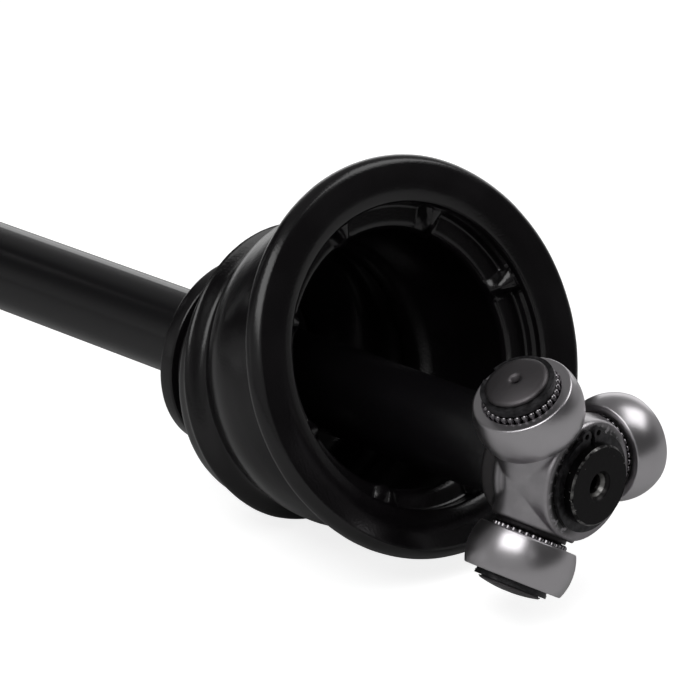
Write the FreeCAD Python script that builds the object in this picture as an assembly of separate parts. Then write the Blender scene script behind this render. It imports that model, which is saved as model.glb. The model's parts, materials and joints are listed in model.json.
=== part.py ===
import FreeCAD, Part
import math
import os

# Front-wheel half shaft: a tubular shaft with a tripod spider at the inboard end, a rubber boot
# that carries its own bearing, and a fixed ball joint with a splined stub at the outboard end.
# Millimetres. Origin at the centre of the spider, +X along the shaft towards the inboard end,
# +Z up. The shaft lies level, as on a bench.

Vec = FreeCAD.Vector
X_AXIS = Vec(1, 0, 0)
ORIGIN = Vec(0, 0, 0)

# Shaft
tube_r = 17.0
tube_wall = 5.0
tube_end_solid = 34.0
end_guard_r = 5.5
end_guard_depth = 0.8
end_cone_r = 4.9
end_cone_half_deg = 30.0
end_bore_r = 3.0
end_chamfer = 0.75
bearing_seat_step = 0.5
bearing_seat_margin = 2.0

# Inboard spline and the spider on it
spline_tip_r = 15.8
spline_depth = 0.8
spline_teeth = 26
spline_clearance = 0.05
tooth_foot_share = 0.32
tooth_top_share = 0.16
shaft_end_x = 21.2
hub_r = 22.2
hub_front_x = 15.7
hub_back_x = -17.2
hub_step = 0.35
hub_collar_drop = 1.05
hub_collar_length = 7.0
hub_band_length = 6.0
hub_chamfer = 0.9
hub_bore_chamfer = 1.0
spider_clock = -1.4
trunnion_count = 3
trunnion_r = 11.75
trunnion_tip = 45.3
trunnion_dome = 1.3
trunnion_chamfer = 0.6
trunnion_neck_r = 13.2
trunnion_neck_top = 23.8
boss_top = 22.3
boss_r = 15.5
boss_edge = 0.4
boss_waist = 18.6
boss_waist_r = 16.4
boss_foot = 9.0
boss_foot_r = 19.5
boss_setback = 1.3
centre_drill_r = 2.3
centre_drill_pilot_r = 0.92
centre_drill_cone = 2.1
centre_drill_depth = 4.1

# Needles, rollers and what keeps them on the trunnions
needle_r = 1.25
needle_count = 32
needle_length = 16.9
needle_end_gap = 0.2
running_gap = 0.02
roller_r = 19.9
roller_half_width = 8.2
roller_edge = 0.5
roller_round = 0.9
roller_bore_gap = 0.03
roller_centres = (30.7, 32.2, 33.9)
washer_r = 13.3
washer_thick = 1.8
snap_ring_r = 13.6
snap_ring_thick = 1.3
snap_groove_depth = 0.85
snap_groove_play = 0.3
snap_ring_gap_deg = 24.0

# Trunnions are numbered from the top one, then the far one, then the low one
trunnion_order = (1, 0, 2)

# Circlips on the shaft
circlip_thick = 1.5
circlip_r = 18.2
circlip_groove_depth = 1.3
circlip_play = 0.15
circlip_gap_deg = 8.0
circlip_lug_r = 2.3
circlip_lug_centre = 18.6
circlip_lug_deg = 9.5
circlip_eye_r = 1.1
race_circlip_r = 14.6
race_circlip_gap = 6.0
race_groove_depth = 1.0

# Bearing in the small end of the inboard boot
bearing_back_x = -166.0
bearing_width = 14.0
bearing_bore_r = 17.5
bearing_outer_r = 31.0
bearing_ball_r = 3.95
bearing_ball_count = 11
bearing_groove_gap = 0.05
bearing_land_reach = 2.65
bearing_seal_thick = 1.1
bearing_seal_inset = 0.5
bearing_cage_half = 5.0
bearing_cage_wall = 1.5

# Inboard boot
boot_wall = 3.0
pocket_wall = 2.4
collar_height = 6.0
collar_back_x = -168.2
collar_width = 6.7
collar_edge = 1.2
collar_front_edge = 0.9
collar_front_x = -150.0
bellows_rise = 3.6
collar_lip = 7.0
pocket_lip = 3.0
mouth_x = -66.3
mouth_z = 25.5
mouth_tilt = 21.86
mouth_yaw = -6.76
mouth_lip_r = 56.3
rim_r = 74.3
rim_crown = 2.0
rim_crown_share = 0.567
rim_swell = 0.72
rim_swell_share = 0.222
rim_edge_drop = 2.9
rim_edge_depth = -1.8
rim_shoulder_drop = 0.9
rim_shoulder_depth = -0.2
rim_widest_depth = 2.2
rim_back_r = 71.6
rim_back_depth = 6.4
rim_back_round = 1.2
rim_back_fall = 0.7
rim_root_depth = 9.0
lip_depth = 3.2
seat_groove_r = 58.2
seat_step_r = 56.8
seat_step_depth = 5.0
seat_step_slope = 0.4
ridge_r = 48.2
ridge_depth = 10.85
ridge_thick = 2.6
ridge_rise = 1.6
ridge_clear = 0.5
ridge_overlap = 1.0
rib_count = 8
rib_first_deg = 18.0
rib_width = 6.0
rib_start = 1.4
rib_inset = 0.4
rib_overlap = 1.2
spine_pull_back = 0.331
spine_pull_front = 0.255
fold_sag = 0.8
# Extra lean of the fold planes halfway along the boot: sideways and up
fold_lean = Vec(0, -0.085, 0.058)
# Along the bent middle of the boot: share of the way, outer radius
bellows_profile = (
    (0.097, 49.5),
    (0.195, 53.2),
    (0.252, 56.4),
    (0.309, 51.6),
    (0.366, 52.5),
    (0.422, 56.1),
    (0.53, 60.0),
    (0.636, 61.0),
    (0.74, 60.6),
    (0.85, 60.2),
    (0.93, 62.2),
    (1.00, 66.0),
)

# Outboard ball joint
joint_x = -480.0
ball_r = 7.9375
ball_pitch_r = 28.5
ball_count = 6
track_gap = 0.11
race_r = 25.0
race_half = 12.5
sphere_gap = 0.08
cage_r = 32.0
cage_half = 12.0
window_gap = 0.14
window_reach = 1.5
outer_spline_tip_r = 12.9
outer_spline_depth = 0.8
outer_spline_teeth = 24
neck_r = 13.6
neck_end = 46.0
neck_taper_end = 72.0
race_end_stub = 4.0
bell_edge = 1.0

# Bell and its stub shaft
bell_r = 42.5
bell_mouth = 18.5
bell_mouth_r = 34.5
bell_lip_deg = 67.0
track_back = 19.0
bell_back = 19.0
bell_slope_length = 9.0
bell_slope_drop = 5.0
bell_floor = 39.0
bell_neck_r = 31.0
bell_neck_length = 2.0
bell_neck_edge = 1.0
shoulder_r = 27.0
shoulder_thick = 3.0
shoulder_edge = 0.6
pilot_edge = 0.8
pilot_r = 15.0
pilot_length = 12.0
stub_spline_r = 13.5
stub_spline_depth = 0.9
stub_spline_teeth = 25
stub_spline_length = 27.0
stub_thread_r = 11.0
stub_thread_length = 17.0
stub_thread_edge = 1.5
stub_relief = 1.0
stub_relief_length = 2.0
boot_seat_depth = 1.5
boot_seat_start = 4.0
boot_seat_width = 12.0

# Outboard boot and its clamps
outer_boot_wall = 2.3
outer_boot_folds = 5
outer_boot_start = 23.5
outer_boot_end = 86.0
outer_boot_big_r = 42.0
outer_boot_small_r = 26.0
outer_boot_fold_depth = 5.5
outer_boot_tail = 12.0
outer_boot_tail_start = 2.5
outer_boot_bead = 1.5
outer_boot_bead_height = 1.0
outer_boot_step = 2.0
outer_boot_step_edge = 0.5
outer_boot_lip = 0.4
soft_gap = 0.3
clamp_band = 1.0
clamp_width = 9.0
clamp_ear_height = 3.2
clamp_ear_half = 3.2
clamp_ear_foot = 0.8
clamp_ear_waist = 0.8
clamp_ear_top = 0.9
clamp_ear_lid = 0.6
clamp_ear_slot = 1.2
clamp_overlap = 0.2
clamp_setback = 0.7


# Sizes that follow from the ones above
bearing_seat_r = tube_r + bearing_seat_step
bearing_front_x = bearing_back_x + bearing_width
bearing_mid_x = bearing_back_x + bearing_width / 2
bearing_pitch_r = (bearing_bore_r + bearing_outer_r) / 2
bearing_inner_land_r = bearing_pitch_r - bearing_land_reach
bearing_outer_land_r = bearing_pitch_r + bearing_land_reach
tube_bore_r = tube_r - tube_wall
end_land_r = spline_tip_r - spline_depth - spline_clearance
circlip_groove_r = end_land_r - circlip_groove_depth
race_groove_r = outer_spline_tip_r - race_groove_depth
collar_groove_r = bearing_outer_r + pocket_wall
collar_r = bearing_outer_r + collar_height
collar_lip_r = bearing_outer_r - collar_lip
pocket_lip_r = bearing_outer_r - pocket_lip
mouth_centre = Vec(mouth_x, 0, mouth_z)
bellows_start = ((0.0, collar_groove_r), (0.03, collar_groove_r + bellows_rise))
rim_depth = rim_r - mouth_lip_r
needle_pitch_r = trunnion_r + running_gap + needle_r
roller_bore_r = needle_pitch_r + needle_r + roller_bore_gap
needle_bottom = trunnion_neck_top + needle_end_gap
needle_top = needle_bottom + needle_length
washer_bottom = needle_top + needle_end_gap
snap_bottom = washer_bottom + washer_thick
snap_groove_r = trunnion_r - snap_groove_depth
race_front_x = joint_x + race_half
race_back_x = joint_x - race_half
shaft_outer_end_x = race_back_x - race_end_stub
boot_seat_r = bell_r - boot_seat_depth


def cylinder_x(radius, start, end):
    return Part.makeCylinder(radius, end - start, Vec(start, 0, 0), X_AXIS)


def revolve_x(points):
    """Turn a closed outline of (x, r) points about the shaft axis."""
    wire = Part.makePolygon([Vec(x, 0, r) for x, r in points + [points[0]]])
    return Part.Face(wire).revolve(ORIGIN, X_AXIS, 360)


def ring_x(inner, outer, start, end):
    return revolve_x([(start, inner), (start, outer), (end, outer), (end, inner)])


def about_x(shape, degrees):
    turned = shape.copy()
    turned.rotate(ORIGIN, X_AXIS, degrees)
    return turned


def on_trunnion(shape, index):
    """Stand a shape built along +Z on one trunnion of the spider."""
    angle = spider_clock + trunnion_order[index] * 360 / trunnion_count
    return about_x(shape, angle - 90)


def splined_bar(tip_r, depth, teeth, start, end, grow=0.0):
    """A bar along the shaft axis with straight-sided teeth all round."""
    root_r = tip_r - depth
    pitch = 2 * math.pi / teeth
    corners = []
    for i in range(teeth):
        for share, radius in ((-tooth_foot_share, root_r), (-tooth_top_share, tip_r),
                              (tooth_top_share, tip_r), (tooth_foot_share, root_r)):
            angle = (i + share) * pitch
            reach = radius + grow
            corners.append(Vec(start, reach * math.cos(angle), reach * math.sin(angle)))
    wire = Part.makePolygon(corners + [corners[0]])
    return Part.Face(wire).extrude(Vec(end - start, 0, 0))


def end_hole(face_x, inward):
    """Outline of a shaft end's centre hole, from the axis: guard, cone, drilling."""
    guard_x = face_x + inward * end_guard_depth
    cone_length = (end_cone_r - end_bore_r) / math.tan(math.radians(end_cone_half_deg))
    cone_x = guard_x + inward * cone_length
    return [(face_x, 0), (face_x, end_guard_r), (guard_x, end_cone_r), (cone_x, end_bore_r)]


def end_chamfer_ring(face_x, inward, land_r):
    return revolve_x([(face_x, land_r - end_chamfer), (face_x, tube_r),
                      (face_x + inward * (end_chamfer + tube_r - land_r), tube_r)])


def axle_shaft():
    """Tubular shaft: seat for the spider, seat for the boot's bearing, neck for the ball joint."""
    seat_back = bearing_back_x - bearing_seat_margin - bearing_seat_step
    seat_front = bearing_front_x + bearing_seat_margin + bearing_seat_step
    groove_start = hub_front_x + circlip_play
    groove_end = groove_start + circlip_thick
    body = revolve_x([
        (hub_back_x, 0), (hub_back_x, tube_r),
        (seat_front, tube_r), (seat_front - bearing_seat_step, bearing_seat_r),
        (seat_back + bearing_seat_step, bearing_seat_r), (seat_back, tube_r),
        (joint_x + neck_taper_end, tube_r), (joint_x + neck_end, neck_r),
        (race_front_x, neck_r), (race_front_x, 0),
    ])
    inner_end = splined_bar(spline_tip_r, spline_depth, spline_teeth, hub_back_x, groove_start)
    end_land = revolve_x([
        (groove_start, 0), (groove_start, circlip_groove_r), (groove_end, circlip_groove_r),
        (groove_end, end_land_r), (shaft_end_x, end_land_r), (shaft_end_x, 0),
    ])
    outer_end = splined_bar(outer_spline_tip_r, outer_spline_depth, outer_spline_teeth,
                            shaft_outer_end_x, race_front_x)
    shaft = body.fuse([inner_end, end_land, outer_end])

    hollow_front = hub_back_x - tube_end_solid
    hollow_back = joint_x + neck_taper_end + tube_end_solid
    cone = tube_bore_r - end_bore_r
    hollow = revolve_x(end_hole(shaft_outer_end_x, 1) + [
        (hollow_back - cone, end_bore_r), (hollow_back, tube_bore_r),
        (hollow_front, tube_bore_r), (hollow_front + cone, end_bore_r),
    ] + end_hole(shaft_end_x, -1)[::-1])
    race_groove = ring_x(race_groove_r, tube_r, race_back_x - circlip_play - circlip_thick,
                         race_back_x - circlip_play)
    chamfers = [end_chamfer_ring(shaft_end_x, -1, end_land_r),
                end_chamfer_ring(shaft_outer_end_x, 1, outer_spline_tip_r)]
    return shaft.cut([hollow, race_groove] + chamfers)


def revolve_z(edges_or_points):
    """Turn an outline about +Z. Points are (r, z); a tuple of three points is an arc."""
    edges = []
    for item in edges_or_points:
        spots = [Vec(r, 0, z) for r, z in item]
        if len(spots) == 3:
            edges.append(Part.Arc(*spots).toShape())
        else:
            edges.append(Part.makeLine(*spots))
    return Part.Face(Part.Wire(edges)).revolve(ORIGIN, Vec(0, 0, 1), 360)


def lines_between(points):
    return list(zip(points, points[1:]))


def trunnion():
    """One journal of the spider along +Z: boss, neck, ring groove, domed and centre-drilled end."""
    edge_r = trunnion_r - trunnion_chamfer
    dome_r = (edge_r ** 2 + trunnion_dome ** 2) / (2 * trunnion_dome)

    def dome_top(r):
        return trunnion_tip + trunnion_dome - dome_r + math.sqrt(dome_r ** 2 - r ** 2)

    groove_top = snap_bottom + snap_ring_thick + snap_groove_play
    side = [
        (0, 0), (trunnion_neck_r, 0), (trunnion_neck_r, trunnion_neck_top),
        (trunnion_r, trunnion_neck_top), (trunnion_r, snap_bottom),
        (snap_groove_r, snap_bottom), (snap_groove_r, groove_top), (trunnion_r, groove_top),
        (trunnion_r, trunnion_tip - trunnion_chamfer), (edge_r, trunnion_tip),
    ]
    middle_r = (edge_r + centre_drill_r) / 2
    dome = [((edge_r, trunnion_tip), (middle_r, dome_top(middle_r)),
             (centre_drill_r, dome_top(centre_drill_r)))]
    apex = dome_top(centre_drill_r)
    drill = [
        (centre_drill_r, apex), (centre_drill_pilot_r, apex - centre_drill_cone),
        (centre_drill_pilot_r, apex - centre_drill_depth),
        (0, apex - centre_drill_depth - centre_drill_pilot_r / 2), (0, 0),
    ]
    journal = revolve_z(lines_between(side) + dome + lines_between(drill))
    boss = revolve_z(lines_between([
        (0, 0), (boss_foot_r, 0), (boss_foot_r, boss_foot), (boss_waist_r, boss_waist),
        (boss_r, boss_top - boss_edge), (boss_r - boss_edge, boss_top), (0, boss_top), (0, 0),
    ]))
    length = hub_front_x - hub_back_x - 2 * boss_setback
    between_faces = Part.makeBox(length, 4 * boss_foot_r, 2 * boss_top,
                                 Vec(hub_back_x + boss_setback, -2 * boss_foot_r, -boss_top))
    return journal.fuse(boss.common(between_faces))


def tripod_spider():
    """Forged hub with three journals, broached to slide on the shaft's spline."""
    collar_end = hub_back_x + hub_collar_length
    ground_start = collar_end + hub_band_length
    collar_top = hub_r - hub_collar_drop
    band_top = hub_r - hub_step
    hub = revolve_x([
        (hub_back_x, 0), (hub_back_x, collar_top - hub_chamfer),
        (hub_back_x + hub_chamfer, collar_top), (collar_end, collar_top),
        (collar_end + band_top - collar_top, band_top), (ground_start, band_top),
        (ground_start + hub_step, hub_r), (hub_front_x - hub_chamfer, hub_r),
        (hub_front_x, hub_r - hub_chamfer), (hub_front_x, 0),
    ])
    journals = [on_trunnion(trunnion(), i) for i in range(trunnion_count)]
    broach = splined_bar(spline_tip_r, spline_depth, spline_teeth, hub_back_x - 1,
                         hub_front_x + 1, spline_clearance)
    mouth_r = spline_tip_r + hub_bore_chamfer
    mouth = revolve_x([(hub_front_x - hub_bore_chamfer, 0),
                       (hub_front_x - hub_bore_chamfer, spline_tip_r),
                       (hub_front_x, mouth_r), (hub_front_x, 0)])
    return hub.fuse(journals).cut([broach, mouth])


def open_ring(inner, outer, thick, gap_deg):
    """A flat ring along +Z from z = 0 with a gap centred on +X."""
    ring = Part.makeCylinder(outer, thick).cut(Part.makeCylinder(inner, thick))
    reach = 2 * outer
    half = math.radians(gap_deg / 2)
    side = reach * math.tan(half)
    wire = Part.makePolygon([ORIGIN, Vec(reach, -side, 0), Vec(reach, side, 0), ORIGIN])
    return ring.cut(Part.Face(wire).extrude(Vec(0, 0, thick)))


def needle_set(index):
    """The full complement of needles round one journal."""
    needles = []
    for i in range(needle_count):
        angle = 2 * math.pi * i / needle_count
        foot = Vec(needle_pitch_r * math.cos(angle), needle_pitch_r * math.sin(angle),
                   needle_bottom)
        needles.append(Part.makeCylinder(needle_r, needle_length, foot))
    return on_trunnion(Part.makeCompound(needles), index)


def roller(index):
    """Barrel-shaped roller: a ground sphere between two flats, with a broken edge in the bore."""
    centre = roller_centres[index]
    ball = Part.makeSphere(roller_r)
    slab = Part.makeCylinder(2 * roller_r, 2 * roller_half_width,
                             Vec(0, 0, -roller_half_width))
    bore = Part.makeCylinder(roller_bore_r, 4 * roller_half_width,
                             Vec(0, 0, -2 * roller_half_width))
    sinks = []
    for side in (-1, 1):
        face = side * roller_half_width
        base = Vec(0, 0, face - side * roller_edge)
        sinks.append(Part.makeCone(roller_bore_r, roller_bore_r + 2 * roller_edge,
                                   2 * roller_edge, base, Vec(0, 0, side)))
    barrel = ball.common(slab)
    flat_r = math.sqrt(roller_r ** 2 - roller_half_width ** 2)
    rims = [edge for edge in barrel.Edges
            if isinstance(edge.Curve, Part.Circle) and abs(edge.Curve.Radius - flat_r) < 0.001]
    barrel = barrel.makeFillet(roller_round, rims).cut([bore] + sinks)
    barrel.translate(Vec(0, 0, centre))
    return on_trunnion(barrel, index)


def needle_washer(index):
    inner = trunnion_r + spline_clearance
    washer = Part.makeCylinder(washer_r, washer_thick).cut(
        Part.makeCylinder(inner, washer_thick))
    washer.translate(Vec(0, 0, washer_bottom))
    return on_trunnion(washer, index)


def trunnion_snap_ring(index):
    ring = open_ring(snap_groove_r + running_gap, snap_ring_r, snap_ring_thick,
                     snap_ring_gap_deg)
    ring.rotate(ORIGIN, Vec(0, 0, 1), 180)
    ring.translate(Vec(0, 0, snap_bottom))
    return on_trunnion(ring, index)


def lugged_circlip(inner, outer, thick):
    """External circlip with two eyed lugs, its gap towards +Z, from x = 0 to its thickness."""
    ring = open_ring(inner, outer, thick, circlip_gap_deg)
    lugs = []
    eyes = []
    for side in (-1, 1):
        angle = math.radians(side * circlip_lug_deg)
        spot = Vec(circlip_lug_centre * math.cos(angle), circlip_lug_centre * math.sin(angle), 0)
        lugs.append(Part.makeCylinder(circlip_lug_r, thick, spot))
        eyes.append(Part.makeCylinder(circlip_eye_r, thick, spot))
    clip = ring.fuse(lugs).cut(eyes)
    clip.rotate(ORIGIN, Vec(0, 1, 0), -90)
    clip.translate(Vec(thick, 0, 0))
    return clip


def spider_circlip():
    clip = lugged_circlip(circlip_groove_r + running_gap, circlip_r, circlip_thick)
    clip.translate(Vec(hub_front_x + circlip_play, 0, 0))
    return clip


def inner_race_circlip():
    ring = ring_x(race_groove_r + running_gap, race_circlip_r,
                  race_back_x - circlip_play - circlip_thick, race_back_x - circlip_play)
    gap = Part.makeBox(circlip_thick, race_circlip_gap, tube_r,
                       Vec(race_back_x - circlip_play - circlip_thick, -race_circlip_gap / 2, 0))
    return ring.cut(gap)


def bearing_track():
    return Part.makeTorus(bearing_pitch_r, bearing_ball_r + bearing_groove_gap,
                          Vec(bearing_mid_x, 0, 0), X_AXIS)


def boot_bearing_inner_ring():
    ring = ring_x(bearing_bore_r, bearing_inner_land_r, bearing_back_x, bearing_front_x)
    return ring.cut(bearing_track())


def boot_bearing_outer_ring():
    ring = ring_x(bearing_outer_land_r, bearing_outer_r, bearing_back_x, bearing_front_x)
    return ring.cut(bearing_track())


def bearing_ball_directions():
    angles = [2 * math.pi * i / bearing_ball_count for i in range(bearing_ball_count)]
    return [Vec(0, math.cos(a), math.sin(a)) for a in angles]


def boot_bearing_balls():
    middle = Vec(bearing_mid_x, 0, 0)
    return Part.makeCompound([Part.makeSphere(bearing_ball_r, middle + out * bearing_pitch_r)
                              for out in bearing_ball_directions()])


def boot_bearing_cage():
    """Ring with a round pocket for each ball."""
    band = ring_x(bearing_pitch_r - bearing_cage_wall, bearing_pitch_r + bearing_cage_wall,
                  bearing_mid_x - bearing_cage_half, bearing_mid_x + bearing_cage_half)
    pockets = [Part.makeCylinder(bearing_ball_r + 2 * bearing_groove_gap, bearing_outer_r,
                                 Vec(bearing_mid_x, 0, 0), out)
               for out in bearing_ball_directions()]
    return band.cut(pockets)


def boot_bearing_seal(front):
    inner = bearing_inner_land_r + bearing_groove_gap
    outer = bearing_outer_land_r
    if front:
        start = bearing_front_x - bearing_seal_inset - bearing_seal_thick
    else:
        start = bearing_back_x + bearing_seal_inset
    return ring_x(inner, outer, start, start + bearing_seal_thick)


def mouth_normal():
    tilt = math.radians(mouth_tilt)
    yaw = math.radians(mouth_yaw)
    return Vec(math.cos(tilt) * math.cos(yaw), math.cos(tilt) * math.sin(yaw), math.sin(tilt))


def mouth_frame():
    """Two directions across the mouth: the first level, the second pointing down."""
    normal = mouth_normal()
    level = normal.cross(Vec(0, 0, 1))
    level.normalize()
    return level, normal.cross(level)


def spine_point(share):
    """Middle line of the bent bellows: place and direction at a share of the way."""
    start = Vec(collar_front_x, 0, 0)
    normal = mouth_normal()
    end = mouth_centre - normal * rim_root_depth
    reach = (end - start).Length
    a, b, c, d = (start, start + X_AXIS * (reach * spine_pull_back),
                  end - normal * (reach * spine_pull_front), end)
    s = share
    place = a * (1 - s) ** 3 + b * (3 * s * (1 - s) ** 2) + c * (3 * s * s * (1 - s)) + d * s ** 3
    heading = (b - a) * (1 - s) ** 2 + (c - b) * (2 * s * (1 - s)) + (d - c) * s ** 2
    heading.normalize()
    heading = heading + fold_lean * (4 * s * (1 - s))
    heading.normalize()
    # The folds hang a little under their own weight, most at two fifths of the way
    hang = fold_sag * (s / 0.4) ** 2 * ((1 - s) / 0.6) ** 3
    return place - Vec(0, 0, hang), heading


def bellows_loft(inset):
    wires = []
    for share, radius in bellows_start + bellows_profile:
        place, heading = spine_point(share)
        # Every circle starts on the same side, so that the skin between them has no twist
        turn = FreeCAD.Rotation(heading.cross(Vec(0, 0, 1)), ORIGIN, heading, "ZXY")
        wires.append(Part.Wire([Part.makeCircle(radius - inset)]))
        wires[-1].Placement = FreeCAD.Placement(place, turn)
    return Part.makeLoft(wires, True, False)


def revolve_mouth(edges_or_points):
    """Turn an outline about the tilted axis of the mouth.

    Points are (depth behind the mouth plane, radius); a tuple of three points is an arc.
    """
    normal = mouth_normal()
    level, _ = mouth_frame()

    def place(point):
        depth, radius = point
        return mouth_centre - normal * depth + level * radius

    edges = []
    for item in edges_or_points:
        spots = [place(p) for p in item]
        if len(spots) == 3:
            edges.append(Part.Arc(*spots).toShape())
        else:
            edges.append(Part.makeLine(*spots))
    return Part.Face(Part.Wire(edges)).revolve(mouth_centre, normal, 360)


def boot_ribs():
    """Webs across the seat groove, from the lip to the inner ridge."""
    normal = mouth_normal()
    level, down = mouth_frame()
    back = ridge_depth + rib_overlap
    low_r = ridge_r + ridge_rise
    high_r = seat_groove_r + rib_overlap
    outline = [(rib_start, mouth_lip_r + rib_inset), (ridge_depth - ridge_rise / 2, low_r),
               (back, low_r), (back, high_r), (rib_start, high_r)]
    ribs = []
    for i in range(rib_count):
        angle = math.radians(rib_first_deg + 360 * i / rib_count)
        out = level * math.cos(angle) + down * math.sin(angle)
        across = down * math.cos(angle) - level * math.sin(angle)
        spots = [mouth_centre - normal * d + out * r - across * (rib_width / 2)
                 for d, r in outline]
        face = Part.Face(Part.makePolygon(spots + [spots[0]]))
        ribs.append(face.extrude(across * rib_width))
    return ribs


def rim_outside():
    """The flange's rounded outer side, up to the end of the bellows."""
    end_r = bellows_profile[-1][1]
    lip = (0, mouth_lip_r)
    swell = (-rim_swell * rim_crown, mouth_lip_r + rim_swell_share * rim_depth)
    crown = (-rim_crown, mouth_lip_r + rim_crown_share * rim_depth)
    edge = (rim_edge_depth, rim_r - rim_edge_drop)
    shoulder = (rim_shoulder_depth, rim_r - rim_shoulder_drop)
    widest = (rim_widest_depth, rim_r)
    back_side = (rim_back_depth - rim_back_round, rim_r - rim_back_fall)
    back = (rim_back_depth, rim_back_r)
    root = (rim_root_depth, end_r)
    return revolve_mouth([
        ((rim_root_depth, 0), (0, 0)),
        ((0, 0), lip),
        (lip, swell, crown),
        (crown, edge),
        (edge, shoulder, widest),
        (widest, back_side, back),
        (back, root),
        (root, (rim_root_depth, 0)),
    ])


def rim_inside():
    """Mouth, seat groove with its step, and the hole through the inner ridge."""
    front = -2 * rim_crown
    floor = ridge_depth + ridge_thick + ridge_clear
    points = [
        (front, 0), (front, mouth_lip_r), (lip_depth, mouth_lip_r), (lip_depth, seat_groove_r),
        (seat_step_depth, seat_groove_r), (seat_step_depth + seat_step_slope, seat_step_r),
        (ridge_depth - ridge_rise, seat_step_r), (ridge_depth, ridge_r), (floor, ridge_r),
        (floor, 0),
    ]
    return revolve_mouth(list(zip(points, points[1:] + points[:1])))


def ridge_zone():
    """The slice of the boot that the inner ridge stands in."""
    front = rim_root_depth - ridge_overlap
    back = ridge_depth + ridge_thick
    points = [(front, 0), (front, rim_r), (back, rim_r), (back, 0)]
    return revolve_mouth(list(zip(points, points[1:] + points[:1])))


def inboard_boot():
    """Moulded rubber boot: bearing pocket, two bent folds, and a flanged mouth with ribs."""
    collar_end = collar_back_x + collar_width
    collar = revolve_x([
        (collar_back_x, 0), (collar_back_x, collar_r - collar_edge),
        (collar_back_x + collar_edge, collar_r), (collar_end - collar_front_edge, collar_r),
        (collar_end, collar_r - collar_front_edge),
        (collar_end + collar_front_edge, collar_groove_r), (collar_front_x, collar_groove_r),
        (collar_front_x, 0),
    ])
    outside = collar.fuse([bellows_loft(0), rim_outside()])
    pocket = revolve_x([
        (collar_back_x, 0), (collar_back_x, collar_lip_r), (bearing_back_x, collar_lip_r),
        (bearing_back_x, bearing_outer_r), (bearing_front_x, bearing_outer_r),
        (bearing_front_x, pocket_lip_r), (collar_front_x, pocket_lip_r), (collar_front_x, 0),
    ])
    cavity = bellows_loft(boot_wall).cut(ridge_zone())
    return outside.cut([pocket, cavity, rim_inside()]).fuse(boot_ribs())


def race_tracks():
    """The three rings that sweep the ball tracks of six balls."""
    rings = []
    for i in range(ball_count // 2):
        angle = math.pi * i * 2 / ball_count
        across = Vec(0, -math.sin(angle), math.cos(angle))
        rings.append(Part.makeTorus(ball_pitch_r, ball_r + track_gap, Vec(joint_x, 0, 0), across))
    return rings


def ball_spot(index):
    angle = 2 * math.pi * index / ball_count
    return Vec(joint_x, ball_pitch_r * math.cos(angle), ball_pitch_r * math.sin(angle))


def inner_race():
    ball = Part.makeSphere(race_r, Vec(joint_x, 0, 0))
    slab = cylinder_x(race_r, race_back_x, race_front_x)
    bore = splined_bar(outer_spline_tip_r, outer_spline_depth, outer_spline_teeth,
                       race_back_x - 1, race_front_x + 1, spline_clearance)
    return ball.common(slab).cut(race_tracks() + [bore])


def ball_cage():
    """Spherical cage with a window for each ball, running on the race and in the bell."""
    middle = Vec(joint_x, 0, 0)
    shell = Part.makeSphere(cage_r, middle).cut(Part.makeSphere(race_r + sphere_gap, middle))
    band = shell.common(cylinder_x(cage_r, joint_x - cage_half, joint_x + cage_half))
    half = ball_r + window_gap
    windows = []
    for i in range(ball_count):
        slot = Part.makeBox(2 * half, 2 * window_reach, cage_r,
                            Vec(joint_x - half, -window_reach, 0))
        ends = [Part.makeCylinder(half, cage_r, Vec(joint_x, side * window_reach, 0))
                for side in (-1, 1)]
        windows.append(about_x(slot.fuse(ends), 360 * i / ball_count - 90))
    return band.cut(windows)


def drive_ball(index):
    return Part.makeSphere(ball_r, ball_spot(index))


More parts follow.
